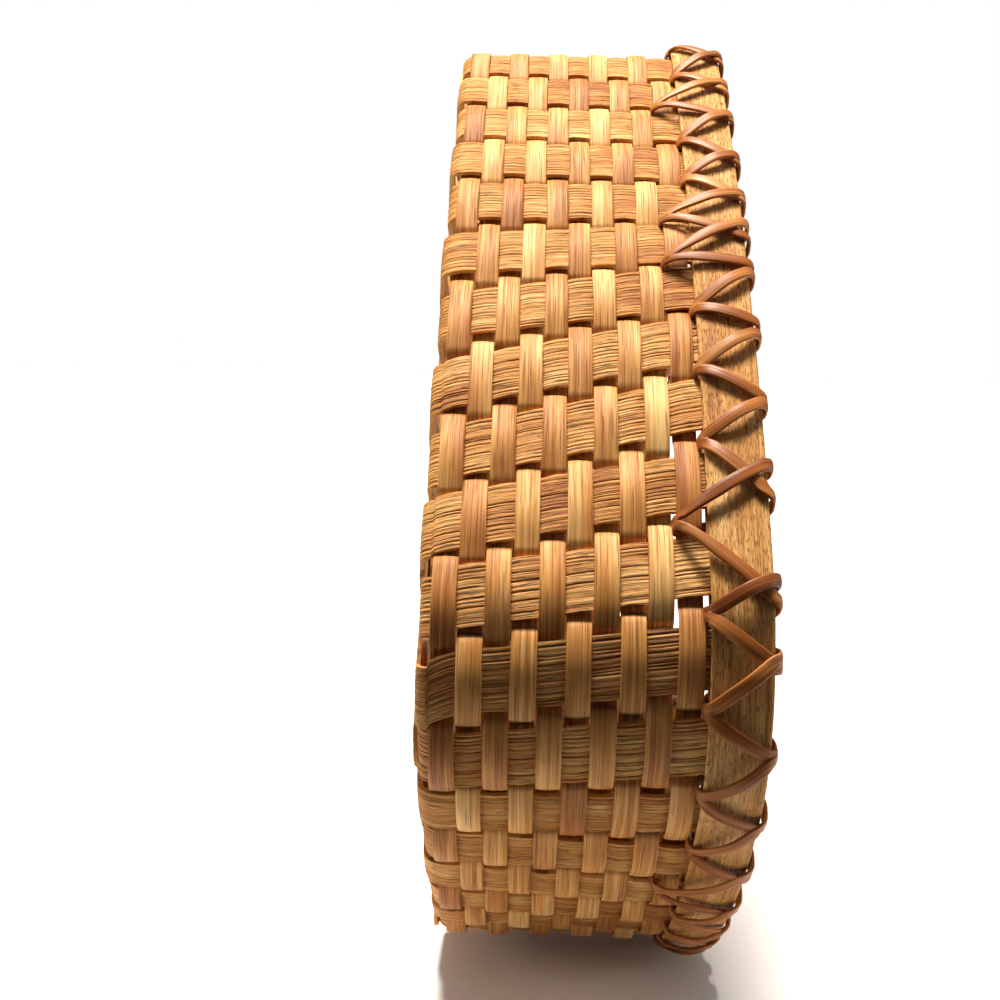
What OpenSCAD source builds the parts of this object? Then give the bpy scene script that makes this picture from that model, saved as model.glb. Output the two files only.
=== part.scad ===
// Heart-shaped splint basket, open at the top and standing on its woven base.
// Twenty-four flat splints cross in the base and turn up as forty-eight stakes,
// ten weavers run round the wall, and two rim bands are lashed with cane.
// The point of the heart is toward -Y and its two lobes are toward +Y.

/* [Heart] */
// Width of the heart across its two shoulders, on the line of the stakes
heart_w = 326; // [310:1:350]

/* [Splints] */
// Width of each splint
splint_w = 15.9; // [13:0.1:16]
// Thickness of each splint
splint_t = 1.5; // [1.2:0.1:1.7]

/* [Weavers] */
// Width of each weaver
weaver_w = 6.35; // [5.5:0.05:7]
// Thickness of each weaver
weaver_t = 1.2; // [0.9:0.1:1.4]
// Space left between two rows of weaving
row_gap = 0.3; // [0.2:0.05:0.5]

/* [Rim] */
// Height of the rim bands
rim_h = 15.5; // [13:0.5:18]
// Thickness of the outer rim band
rim_outer_t = 2.8; // [2:0.1:3.2]
// Thickness of the inner rim band
rim_inner_t = 2.4; // [2:0.1:3]
// Space between the last weaver and the rim, where the cane goes through
cane_gap = 2; // [1.8:0.1:2.6]

/* [Lashing] */
// Width of the lashing cane
cane_w = 3.4; // [2.4:0.1:3.8]
// Thickness of the lashing cane
cane_t = 1; // [0.8:0.1:1.1]

/* [Hidden] */

// Space between two strips that lie on each other
lie = 0.2;
// Rows of weaving, and stakes on each half of the heart
rows = 10;
half_n = 24;
ring_n = 2 * half_n;

// The right half of the outline runs from the point to the cleft as arcs.
// Each arc has a radius and ends at a heading, the angle of its outward normal.
// Radii are first in the units of the drawing and then scaled to the width.
tip_a = -55;
side_a = -34;
shoulder_a = 36;
lobe_a = 62;
flank_a = 160;
d_tip = 15;
d_side = 570;
d_shoulder = 54;
d_lobe = 249;
d_flank = 29;
d_cleft = 17.45;
d_half_w = d_tip * cos(tip_a) + d_side * (cos(side_a) - cos(tip_a)) + d_shoulder * (1 - cos(side_a));
k = heart_w / 2 / d_half_w;
tip_r = d_tip * k;
side_r = d_side * k;
shoulder_r = d_shoulder * k;
lobe_r = d_lobe * k;
cleft_r = d_cleft * k;
flank_len = d_flank * k;
lobe_end_x = tip_r * cos(tip_a) + side_r * (cos(side_a) - cos(tip_a))
    + shoulder_r * (cos(shoulder_a) - cos(side_a)) + lobe_r * (cos(lobe_a) - cos(shoulder_a));
// The radius inside the lobe closes the outline on the middle line
inner_r = (lobe_end_x - flank_len * sin(flank_a) + cleft_r * cos(flank_a)) / (cos(lobe_a) - cos(flank_a));

// Radius, first heading and last heading of each arc, with 0 for the straight flank
arcs = [
    [tip_r, -90, tip_a],
    [side_r, tip_a, side_a],
    [shoulder_r, side_a, shoulder_a],
    [lobe_r, shoulder_a, lobe_a],
    [inner_r, lobe_a, flank_a],
    [0, flank_a, flank_a],
    [-cleft_r, flank_a, 90]
];
function arc_len(i) = arcs[i][0] == 0 ? flank_len : arcs[i][0] * (arcs[i][2] - arcs[i][1]) * PI / 180;
function arc_from(i) = i == 0 ? 0 : arc_from(i - 1) + arc_len(i - 1);
function arc_move(i, s) = arcs[i][0] == 0
    ? [-sin(flank_a) * s, cos(flank_a) * s]
    : arcs[i][0] * (unit(arc_head(i, s)) - unit(arcs[i][1]));
function arc_head(i, s) = arcs[i][0] == 0 ? flank_a : arcs[i][1] + s / arcs[i][0] * 180 / PI;
function arc_start(i) = i == 0 ? [0, 0] : arc_start(i - 1) + arc_move(i - 1, arc_len(i - 1));
function unit(a) = [cos(a), sin(a)];
function side(a) = [-sin(a), cos(a)];
starts = [for (i = [0:6]) arc_start(i)];
froms = [for (i = [0:7]) arc_from(i)];
half_len = froms[7];
function arc_of(s) = max([for (i = [0:6]) if (s >= froms[i]) i]);
function outline(s) = let (i = arc_of(s), d = s - froms[i])
    concat(starts[i] + arc_move(i, d), [arc_head(i, d)]);

// Stakes stand a little closer round the inside of the lobes than along the sides
near_n = 18.7;
near_pitch = froms[4] / near_n;
far_pitch = (half_len - froms[4]) / (half_n - near_n);
function stake_s(i) = i + 0.5 <= near_n ? (i + 0.5) * near_pitch : froms[4] + (i + 0.5 - near_n) * far_pitch;

// How far the rim and its cane stand out from the stakes
flat = splint_w / 2 + 0.35;
fold_gap = 0.15;
cane_out = splint_t / 2 + lie + rim_outer_t + 0.15 + cane_t / 2;
cane_lift = cane_t + 0.45;
reach_out = cane_out + cane_lift + cane_t / 2;
// The heart's middle in Y, so that the part's origin lies under the middle of its box
lobe_top = starts[4][1] + inner_r * (1 - sin(lobe_a));
first_stake = outline(stake_s(0));
tip_end = first_stake[1] - side(first_stake[2])[1] * flat + unit(first_stake[2])[1] * reach_out;
mid_y = (lobe_top + reach_out + tip_end) / 2;
right_half = [for (i = [0:half_n - 1]) let (p = outline(stake_s(i))) [p[0], p[1] - mid_y, p[2]]];
// Place and heading of every stake, going round from the point by the right side
stakes = [for (q = [0:ring_n - 1]) q < half_n
    ? right_half[q]
    : let (p = right_half[ring_n - 1 - q]) [-p[0], p[1], 180 - p[2]]];
function spot(q) = [stakes[q % ring_n][0], stakes[q % ring_n][1]];
function head(q) = stakes[q % ring_n][2];

// Heights, from the table up
mat_step = splint_t + 0.3;
wall_z = mat_step + splint_t + 0.9;
row_step = weaver_w + row_gap;
wall_top = wall_z + rows * row_step - row_gap;
rim_z = wall_top + cane_gap;
rim_top = rim_z + rim_h;
stake_top = rim_top - 0.6;
// How far the middle of a weaver swings from the middle of the stakes
swing = splint_t / 2 + lie + weaver_t / 2;
bend_r = splint_t + 0.7;
// The foot of a stake thins into the splint that it belongs to
foot_thin = 0.2;

// A point on the ring at fraction v, whole numbers being stakes, at offset n from the stakes
function flat_pt(q, u, n) = spot(q) + side(head(q)) * u + unit(head(q)) * n;
// Room that a strip has between stake q and its neighbour toward g = 1 or -1
function fold(q, g, n) = let (o = q + g + ring_n, a = side(head(q)) * g, b = side(head(o)) * -g,
    d = spot(o) + unit(head(o)) * n - spot(q) - unit(head(q)) * n, c = cross2(a, b))
    abs(c) < 0.02 ? norm(d) : (cross2(d, a) + cross2(d, b)) / c;
// A strip lies flat past the stake's edge, or as far as the fold in a tight turn
function flat_end(q, g, n) = min(flat, fold(q, g, n) / 2 - fold_gap, fold(q, g, -n) / 2 - fold_gap) * g;
function ring_pt(v, n) = let (q = round(v) + ring_n, f = v - round(v), e = flat / near_pitch)
    abs(f) <= e ? flat_pt(q, abs(f) / e * flat_end(q, f < 0 ? -1 : 1, n), n)
    : f > 0 ? let (g = (f - e) / (1 - 2 * e))
        flat_pt(q, flat_end(q, 1, n), n) * (1 - g) + flat_pt(q + 1, flat_end(q + 1, -1, n), n) * g
    : let (g = (1 + f - e) / (1 - 2 * e))
        flat_pt(q - 1, flat_end(q - 1, 1, n), n) * (1 - g) + flat_pt(q, flat_end(q, -1, n), n) * g;
function ring_out(v) = let (q = round(v), f = v - q, o = f > 0 ? q + 1 : q - 1, w = max(0, abs(f) - 0.25) * 2)
    unit_of(unit(head(q + ring_n)) * (1 - w) + unit(head(o + ring_n)) * w);
function unit_of(p) = p / norm(p);
function turn(p) = [-p[1], p[0]];

// Side of the stakes on which a weaver passes: 1 outside and -1 inside
function pass(row, q) = (row + q) % 2 == 0 ? -1 : 1;
function weave_line(row, n) = [for (q = [0:ring_n - 1]) for (u = [-1, -0.6, 0.6, 1])
    let (m = pass(row, q) * (swing + (abs(u) < 1 ? 0.12 : 0)) + n)
    flat_pt(q, abs(u) * flat_end(q, sign(u), swing + weaver_t), m)];
function band_line(n) = [for (q = [0:ring_n - 1]) for (g = [-1, 1]) flat_pt(q, flat_end(q, g, n), n)];
function both(a, b) = concat(a, b);
function ring_paths(count) = [[for (i = [0:count - 1]) i], [for (i = [0:count - 1]) count + i]];

module ring(outer, inner, z, h) {
    translate([0, 0, z])
        linear_extrude(height = h)
            polygon(points = both(outer, inner), paths = ring_paths(len(outer)));
}

module weaver(row, tone) {
    color(tone)
        ring(
            weave_line(row, weaver_t / 2),
            weave_line(row, -weaver_t / 2),
            wall_z + (row - 1) * row_step,
            weaver_w
        );
}

// Splint i crosses the right side of the heart and ends on the far lobe or in the cleft
function right_start(i) = i - 1;
function right_end(i) = i <= 7 ? ring_n - 12 - i : 31 - i;
function line_a(i) = spot(right_start(i));
function line_b(i) = spot(right_end(i));
function flip(p) = [-p[0], p[1]];
function cross2(a, b) = a[0] * b[1] - a[1] * b[0];
// Distance along the line a-b, from a, at which the line c-d crosses it
function meet(a, b, c, d) = cross2(c - a, d - c) / cross2(b - a, d - c) * norm(b - a);
// Splints j of the left family that cross splint i of the right family, with the distance along i
function crossings(i) = [for (j = [1:12])
    let (a = line_a(i), b = line_b(i), c = flip(line_a(j)), d = flip(line_b(j)),
        t = meet(a, b, c, d), s = meet(c, d, a, b))
    if (t > 3 && t < norm(b - a) - 3 && s > 3 && s < norm(d - c) - 3)
        [t, (i + j) % 2, cover(b - a, d - c)]];
// Half of the length that a crossing splint covers
function cover(p, r) = let (c = abs(p * r) / norm(p) / norm(r), s = sqrt(1 - c * c))
    splint_w / 2 * (1 + c) / s + 0.3;
// Low and high stretches along splint i: rise is 0 where an even sum lies above and 1 below
function stretch(i, rise) = let (x = crossings(i), n = len(x))
    [for (m = [0:n - 1])
        let (z = (x[m][1] + rise) % 2 == 0 ? mat_step : 0,
            before = m == 0 ? x[m][0] : min(x[m][2], (x[m][0] - x[m - 1][0]) / 2 - 0.4),
            after = m == n - 1
                ? norm(line_b(i) - line_a(i)) - x[m][0]
                : min(x[m][2], (x[m + 1][0] - x[m][0]) / 2 - 0.4))
        each [[x[m][0] - before, z], [x[m][0] + after, z]]];
function lifted(line, h) = [for (p = line) [p[0], p[1] + h]];
function backward(line) = [for (m = [len(line) - 1:-1:0]) line[m]];

// Corners of one end of a splint in plan: its edges run in and then meet the foot of the stake
function end_edge(q, p, d, w, reach) =
    let (e = turn(d), o = unit(head(q)), t = side(head(q)) * (e * side(head(q)) > 0 ? 1 : -1), v = w - 0.4)
    [p - d * reach - e * w, p - o * 2.6 - t * v, p - o * 2.6 + t * v, p - d * reach + e * w];

// Foot and stake: the splint turns up through a bend and stands straight to the rim
function bend(z, r, a0, a1) = [for (m = [0:6])
    let (a = a0 + (a1 - a0) * m / 6)
    [splint_t / 2 - bend_r + r * cos(a), z + bend_r + r * sin(a)]];
module stake(q, z) {
    translate([spot(q)[0], spot(q)[1], 0])
        rotate([0, 0, head(q)])
            rotate([90, 0, 0])
                linear_extrude(height = splint_w, center = true)
                    polygon(concat(
                        [[-4.5, z + foot_thin]],
                        bend(z, bend_r, -90, 0),
                        [[splint_t / 2, stake_top], [-splint_t / 2, stake_top]],
                        bend(z, bend_r - splint_t, 0, -90),
                        [[-4.5, z + splint_t - foot_thin]]
                    ));
}

module splint(i, rise) {
    a = line_a(i);
    b = line_b(i);
    d = unit_of(b - a);
    line = stretch(i, rise);
    last = line[len(line) - 1];
    long = concat([line[0] - [splint_w, 0]], line, [last + [splint_w, 0]]);
    plan = concat(
        end_edge(right_end(i), b, d, splint_w / 2, splint_w),
        end_edge(right_start(i), a, -d, splint_w / 2, splint_w)
    );
    intersection() {
        translate([a[0], a[1], 0])
            rotate([0, 0, atan2(d[1], d[0])])
                rotate([90, 0, 0])
                    linear_extrude(height = splint_w * 2.2, center = true)
                        polygon(concat(long, backward(lifted(long, splint_t))));
        translate([0, 0, -1])
            linear_extrude(height = mat_step * 4)
                polygon(plan);
    }
    stake(right_start(i), line[0][1]);
    stake(right_end(i), last[1]);
}
module right_splint(i, tone) {
    color(tone) splint(i, 0);
}
module left_splint(i, tone) {
    color(tone) mirror([1, 0, 0]) splint(i, 1);
}

// The rim bands are thinner at their two edges
module rim_band(n0, n1, thin) {
    edge = 1.2;
    ring(band_line(n1 - thin[1]), band_line(n0 + thin[0]), rim_z, edge);
    ring(band_line(n1), band_line(n0), rim_z + edge, rim_h - 2 * edge);
    ring(band_line(n1 - thin[1]), band_line(n0 + thin[0]), rim_top - edge, edge);
}

// One pass of cane: up the outside, over the rim, down the inside and back through the next gap.
// Each ring of the sweep is a middle point, a width direction, a thickness direction and a width.
cane_in = splint_t / 2 + lie + rim_inner_t + 0.15 + cane_t / 2;
hole_z = wall_top + cane_gap / 2;
hole_w = 1.4;
lane = 1.2 / near_pitch;
edge_v = flat / near_pitch;
function cane_ring(v, n, z, wide, out, up, tilt) = let (o = ring_out(v), t = turn(o), p = ring_pt(v, n))
    [[p[0], p[1], z], unit_of([t[0], t[1], tilt]), unit_of([o[0] * out, o[1] * out, up]), wide];
function stitch(q, lift) = [
    cane_ring(q + 0.5 + lane, cane_out - 0.6, hole_z, hole_w, 0.3, -1, 0),
    cane_ring(q + 0.5 + lane, cane_out, hole_z + 0.9, hole_w, 1, -0.4, -0.3),
    cane_ring(q + 1 - edge_v, cane_out + lift * 0.2, rim_z + rim_h * 0.2, cane_w, 1, 0, -0.6),
    cane_ring(q + 0.74, cane_out + lift * 0.5, rim_z + rim_h * 0.5, cane_w, 1, 0, -0.6),
    cane_ring(q + 0.93, cane_out + lift, rim_top - 1.4, cane_w, 1, 0, -0.6),
    cane_ring(q + 0.97, cane_out + lift - 0.5, rim_top + 0.5 + lift, cane_w, 1, 1, -0.2),
    cane_ring(q + 1.03, 0.5 - cane_in - lift, rim_top + 0.5 + lift, cane_w, -1, 1, 0.2),
    cane_ring(q + 1.07, -cane_in - lift, rim_top - 1.4, cane_w, -1, 0, 0.6),
    cane_ring(q + 1.26, -cane_in - lift, rim_z + rim_h * 0.5, cane_w, -1, 0, 0.6),
    cane_ring(q + 1 + edge_v, -cane_in - lift, rim_z + rim_h * 0.2, cane_w, -1, 0, 0.6),
    cane_ring(q + 1.5 + lane, -cane_in - lift, hole_z + 0.9, hole_w, -1, -0.4, 0.3),
    cane_ring(q + 1.5 + lane, 0.6 - cane_in - lift, hole_z, hole_w, -0.3, -1, 0)
];
function corners(r) = [for (c = [[-1, -1], [1, -1], [1, 1], [-1, 1]])
    r[0] + r[1] * c[0] * r[3] / 2 + r[2] * c[1] * cane_t / 2];
module cane(lift) {
    rings = [for (q = [0:ring_n - 1]) each stitch(q, lift)];
    m = len(rings);
    skin = [for (i = [0:m - 2]) for (c = [0:3])
        let (a = 4 * i + c, b = 4 * i + (c + 1) % 4) each [[a, b, b + 4], [a, b + 4, a + 4]]];
    polyhedron(
        points = [for (r = rings) each corners(r)],
        faces = concat(
            [[0, 3, 2], [0, 2, 1]],
            skin,
            [[4 * m - 4, 4 * m - 3, 4 * m - 2], [4 * m - 4, 4 * m - 2, 4 * m - 1]]
        )
    );
}

module rim_outer() {
    color("burlywood")
        rim_band(splint_t / 2 + lie, splint_t / 2 + lie + rim_outer_t, [0, 0.9]);
}
module rim_inner() {
    color("burlywood")
        rim_band(-splint_t / 2 - lie - rim_inner_t, -splint_t / 2 - lie, [0.9, 0]);
}
module lashing_first() {
    color("sienna") cane(0);
}
module lashing_second() {
    color("peru") mirror([1, 0, 0]) cane(cane_lift);
}

module splint_r01() {
    right_splint(1, "burlywood");
}
module splint_r02() {
    right_splint(2, "peru");
}
module splint_r03() {
    right_splint(3, "tan");
}
module splint_r04() {
    right_splint(4, "tan");
}
module splint_r05() {
    right_splint(5, "peru");
}
module splint_r06() {
    right_splint(6, "tan");
}
module splint_r07() {
    right_splint(7, "burlywood");
}
module splint_r08() {
    right_splint(8, "tan");
}
module splint_r09() {
    right_splint(9, "tan");
}
module splint_r10() {
    right_splint(10, "burlywood");
}
module splint_r11() {
    right_splint(11, "peru");
}
module splint_r12() {
    right_splint(12, "tan");
}
module splint_l01() {
    left_splint(1, "peru");
}
module splint_l02() {
    left_splint(2, "tan");
}
module splint_l03() {
    left_splint(3, "burlywood");
}
module splint_l04() {
    left_splint(4, "tan");
}
module splint_l05() {
    left_splint(5, "tan");
}
module splint_l06() {
    left_splint(6, "burlywood");
}
module splint_l07() {
    left_splint(7, "peru");
}
module splint_l08() {
    left_splint(8, "tan");
}
module splint_l09() {
    left_splint(9, "burlywood");
}
module splint_l10() {
    left_splint(10, "peru");
}
module splint_l11() {
    left_splint(11, "tan");
}
module splint_l12() {
    left_splint(12, "tan");
}
module weaver_01() {
    weaver(1, "tan");
}
module weaver_02() {
    weaver(2, "burlywood");
}
module weaver_03() {
    weaver(3, "wheat");
}
module weaver_04() {
    weaver(4, "tan");
}
module weaver_05() {
    weaver(5, "burlywood");
}
module weaver_06() {
    weaver(6, "wheat");
}
module weaver_07() {
    weaver(7, "tan");
}
module weaver_08() {
    weaver(8, "burlywood");
}
module weaver_09() {
    weaver(9, "wheat");
}
module weaver_10() {
    weaver(10, "tan");
}

splint_r01();
splint_r02();
splint_r03();
splint_r04();
splint_r05();
splint_r06();
splint_r07();
splint_r08();
splint_r09();
splint_r10();
splint_r11();
splint_r12();
splint_l01();
splint_l02();
splint_l03();
splint_l04();
splint_l05();
splint_l06();
splint_l07();
splint_l08();
splint_l09();
splint_l10();
splint_l11();
splint_l12();
weaver_01();
weaver_02();
weaver_03();
weaver_04();
weaver_05();
weaver_06();
weaver_07();
weaver_08();
weaver_09();
weaver_10();
rim_outer();
rim_inner();
lashing_first();
lashing_second();
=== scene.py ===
import bpy
import math
import numpy as np
from mathutils import Matrix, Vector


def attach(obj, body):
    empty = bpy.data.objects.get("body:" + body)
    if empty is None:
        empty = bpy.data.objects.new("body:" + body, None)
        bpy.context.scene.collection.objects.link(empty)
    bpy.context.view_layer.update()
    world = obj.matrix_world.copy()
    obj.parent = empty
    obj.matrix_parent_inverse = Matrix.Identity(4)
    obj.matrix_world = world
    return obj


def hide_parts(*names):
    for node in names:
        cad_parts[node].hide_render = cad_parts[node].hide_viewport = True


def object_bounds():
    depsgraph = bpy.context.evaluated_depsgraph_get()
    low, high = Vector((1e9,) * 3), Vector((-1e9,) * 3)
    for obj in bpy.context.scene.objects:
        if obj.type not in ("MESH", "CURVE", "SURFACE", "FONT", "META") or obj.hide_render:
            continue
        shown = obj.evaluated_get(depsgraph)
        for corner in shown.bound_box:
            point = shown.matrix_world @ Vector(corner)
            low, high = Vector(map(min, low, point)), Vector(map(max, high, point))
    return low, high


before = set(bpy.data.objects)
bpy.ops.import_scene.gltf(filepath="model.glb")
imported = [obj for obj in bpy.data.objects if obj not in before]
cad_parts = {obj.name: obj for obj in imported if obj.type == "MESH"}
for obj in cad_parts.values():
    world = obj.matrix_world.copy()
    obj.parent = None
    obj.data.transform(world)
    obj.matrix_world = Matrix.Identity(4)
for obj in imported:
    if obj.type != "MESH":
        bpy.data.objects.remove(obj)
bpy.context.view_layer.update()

# Sizes in millimetres, as in the part's source
MM = 0.001
HEART_W = 326.0
SPLINT_W, SPLINT_T = 15.9, 1.5
WEAVER_W, WEAVER_T = 6.35, 1.2
ROWS, ROW_STEP = 10, 6.65
# How much higher one splint lies than another where they cross in the base
MAT_STEP = 1.8
WALL_Z, WALL_TOP = 4.2, 70.4
WALL_MID = (WALL_Z + WALL_TOP) / 2
WALL_H = WALL_TOP - WALL_Z
RIM_Z, RIM_H = 72.4, 15.5
RIM_TOP = RIM_Z + RIM_H
STAKE_TOP = RIM_TOP - 0.6
# Middle of each rim band, outward from the line of the stakes, and its thickness
RIM_OUT, RIM_OUT_T = 2.35, 2.8
RIM_IN, RIM_IN_T = -2.15, 2.4
CANE_W, CANE_T = 3.5, 1.1
# How far the solids' lashing stands out from the line of the stakes
REACH_OUT = 6.3
# Stakes of one half of the heart, and of both
HALF_N = 24
RING_N = 2 * HALF_N
# A strip lies flat this far to each side of a stake's middle
FLAT = SPLINT_W / 2 + 0.35

# The heart's outline from its point to the cleft. Each arc has a radius in the units of the drawing, and the
# angles of its outward normal where it starts and ends: tip, side, shoulder, lobe and the lobe's inside
ARCS = [(15, -90, -55), (570, -55, -34), (54, -34, 36), (249, 36, 62), (30, 62, 160)]
FLANK_RUN, FLANK_A, CLEFT_A = 29, 160, 90
ARC_POINTS = 240
# Stakes that stand before the lobe's inside. Along it they are a little closer together
NEAR_N = 18.7


def cos_of(degrees):
    return math.cos(math.radians(degrees))


def sin_of(degrees):
    return math.sin(math.radians(degrees))


def heart_line():
    """The right half of the outline: runs, x, y and headings, the run at the lobe's inside, and its top."""
    half_w = sum(r * (cos_of(min(b, 0)) - cos_of(a)) for r, a, b in ARCS[:3])
    k = HEART_W / 2 / half_w
    s, x, y, h = [0.0], [0.0], [0.0], [-90.0]

    def walk(r, a, b, run):
        x0, y0, s0 = x[-1], y[-1], s[-1]
        for f in np.linspace(0, 1, ARC_POINTS)[1:]:
            c = a + (b - a) * f
            s.append(s0 + run * f)
            h.append(c)
            if r:
                x.append(x0 + r * (cos_of(c) - cos_of(a)))
                y.append(y0 + r * (sin_of(c) - sin_of(a)))
            else:
                x.append(x0 - sin_of(a) * run * f)
                y.append(y0 + cos_of(a) * run * f)

    for r, a, b in ARCS:
        last_s, last_y = s[-1], y[-1]
        walk(r * k, a, b, r * k * math.radians(b - a))
    top = last_y + r * k * (1 - sin_of(a))
    walk(0, FLANK_A, FLANK_A, FLANK_RUN * k)
    # The cleft closes the outline on the middle line
    cleft_r = x[-1] / -cos_of(FLANK_A)
    walk(-cleft_r, FLANK_A, CLEFT_A, cleft_r * math.radians(FLANK_A - CLEFT_A))
    return np.array(s), np.array(x), np.array(y), np.radians(h), last_s, top


half_s, half_x, half_y, half_a, lobe_s, lobe_top = heart_line()
HALF_LEN = half_s[-1]
RING_LEN = 2 * HALF_LEN
near_pitch = lobe_s / NEAR_N
far_pitch = (HALF_LEN - lobe_s) / (HALF_N - NEAR_N)
count = np.arange(HALF_N) + 0.5
right_s = np.where(count <= NEAR_N, count * near_pitch, lobe_s + (count - NEAR_N) * far_pitch)

# The heart's middle in Y, so that the origin lies under the middle of the part's box
tip_a = half_a[np.searchsorted(half_s, right_s[0])]
tip_end = np.interp(right_s[0], half_s, half_y) - math.cos(tip_a) * FLAT + math.sin(tip_a) * REACH_OUT
mid_y = (lobe_top + REACH_OUT + tip_end) / 2

# The whole ring goes round from the point by the right side and back by the left
ring_s = np.concatenate([half_s, RING_LEN - half_s[-2::-1]])
ring_x = np.concatenate([half_x, -half_x[-2::-1]])
ring_y = np.concatenate([half_y, half_y[-2::-1]]) - mid_y
ring_a = np.concatenate([half_a, math.pi - half_a[-2::-1]])

# Measured on the photograph, in millimetres along the wall: how far each stake of a half stands off an even
# spacing, and how far it leans over the wall's height
OFF_STAKES = [0, 3, 5, 6, 8, 10, 12, 13, 15, 18, 23]
OFF_MM = [0, -2.6, -3.6, -3.5, -1.6, 0, 1.5, 1.6, 1.1, 0.4, 0]
off_half = np.interp(np.arange(HALF_N), OFF_STAKES, OFF_MM)
lean_half = np.array([3, 2.5, 2, 1.5, -0.5, -5.5, -12, -17, -17, -14, -10.5, -8.5,
                      -7, -2, 5, 10, 11.5, 10, 7, 4.5, 3, 2, 1, 0])
STAKE_S = np.concatenate([right_s + off_half, (RING_LEN - right_s - off_half)[::-1]])
LEAN = np.concatenate([lean_half, -lean_half[::-1]])
# Stakes counted again before the first and after the last, for strips that go past them
EXTRA = 6
# A strip's turn round the wall lies between flat facets (1) and the smooth outline (0)
FACET = 0.5


# Letters below: s is a run round the ring, n a distance out from it, t a place along a strip and u across it
def ring(s):
    """Place and heading on the line of the stakes, at a distance round it from the point."""
    s = np.mod(s, RING_LEN)
    return np.interp(s, ring_s, ring_x), np.interp(s, ring_s, ring_y), np.interp(s, ring_s, ring_a)


def stake_places(z):
    """Places of the stakes along the ring at a height, over two rounds and some more at each end."""
    s = STAKE_S + LEAN * (z - WALL_MID) / WALL_H
    return np.concatenate([s[-EXTRA:] - RING_LEN, s, s + RING_LEN, s[:EXTRA] + 2 * RING_LEN])


def around(s, n, places):
    """Points at n outside the stake line: nearly flat at each stake, with the bends between them."""
    k = np.clip(np.searchsorted((places[1:] + places[:-1]) / 2, s), 1, len(places) - 2)
    off = s - places[k]
    side = np.where(off < 0, -1, 1)
    x, y, a = ring(places[k])
    x2, y2, a2 = ring(places[k + side])
    room = np.abs(places[k + side] - places[k])
    g = np.clip((np.abs(off) - FLAT) / (room - 2 * FLAT), 0, 1)
    v = np.clip(off, -FLAT, FLAT)
    here_x, here_y = x - np.sin(a) * v + np.cos(a) * n, y + np.cos(a) * v + np.sin(a) * n
    next_x = x2 + np.sin(a2) * side * FLAT + np.cos(a2) * n
    next_y = y2 - np.cos(a2) * side * FLAT + np.sin(a2) * n
    cx, cy, ca = ring(s)
    px = FACET * (here_x * (1 - g) + next_x * g) + (1 - FACET) * (cx + np.cos(ca) * n)
    py = FACET * (here_y * (1 - g) + next_y * g) + (1 - FACET) * (cy + np.sin(ca) * n)
    return px, py


def beside(s, v, n):
    """Points at n outside a stake that stands at s, and at v across it."""
    x, y, a = ring(s)
    cx, cy, ca = ring(s + v)
    px = FACET * (x - np.sin(a) * v + np.cos(a) * n) + (1 - FACET) * (cx + np.cos(ca) * n)
    py = FACET * (y + np.cos(a) * v + np.sin(a) * n) + (1 - FACET) * (cy + np.sin(ca) * n)
    return px, py


def step(x, a, b):
    """Rises smoothly from 0 at a to 1 at b."""
    f = np.clip((x - a) / (b - a), 0, 1)
    return f * f * (3 - 2 * f)


def drift(x, seed):
    """A slow uneven wave between -1 and 1, different for each seed."""
    p = seed * 2.399
    return (np.sin(x + p) + 0.7 * np.sin(2.3 * x + 1.7 * p) + 0.5 * np.sin(4.1 * x + 2.9 * p)) / 2.2


# Strips start as a flat grid with rows where they are needed, and are then laid along their route
def strip_rows(width, seed, gaps, depths, lip):
    """Rows across a strip and their depths: edges, grooves between the fibres, and crowns between those."""
    dice = np.random.default_rng(seed)
    half = width / 2
    grooves = [-half + dice.uniform(*gaps)]
    while grooves[-1] < half - 2 * gaps[0]:
        grooves.append(grooves[-1] + dice.uniform(*gaps))
    grooves = [g for g in grooves if g < half - 0.8 * gaps[0]]
    rows = [(-half, 0.0), (half, 0.0)]
    for before, g, after in zip([-half] + grooves[:-1], grooves, grooves[1:] + [half]):
        rows += [(g - lip, 0.0), (g, dice.uniform(*depths)), (g + lip, 0.0)]
        if g - before > 5 * lip:
            rows.append(((before + g) / 2, 0.0))
        if after == half and half - g > 3 * lip:
            rows.append(((half + g) / 2, 0.0))
    rows = np.array(sorted(rows))
    return rows[:, 0], rows[:, 1]


def flat_strip(name, along, across):
    """A flat grid, with the place of each of its points along and across the strip, and the point's row."""
    bpy.ops.object.select_all(action="DESELECT")
    bpy.ops.mesh.primitive_grid_add(x_subdivisions=len(along) - 1, y_subdivisions=len(across) - 1, size=1)
    strip = bpy.context.active_object
    strip.name = name
    strip.data.name = name
    flat = np.zeros(len(strip.data.vertices) * 3, np.float32)
    strip.data.vertices.foreach_get("co", flat)
    flat = np.round(flat.reshape(-1, 3), 6)
    column = np.rint((flat[:, 0] + 0.5) * (len(along) - 1)).astype(int)
    row = np.rint((flat[:, 1] + 0.5) * (len(across) - 1)).astype(int)
    return strip, np.asarray(along)[column], np.asarray(across)[row], row


# Steps in which a strip's thickness and its grooves' depth are graded
GRADES = 40
# Edges sharper than the first angle are rounded, and those sharper than the second are shaded as edges
ROUND_A, SHARP_A = 55, 70


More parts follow.
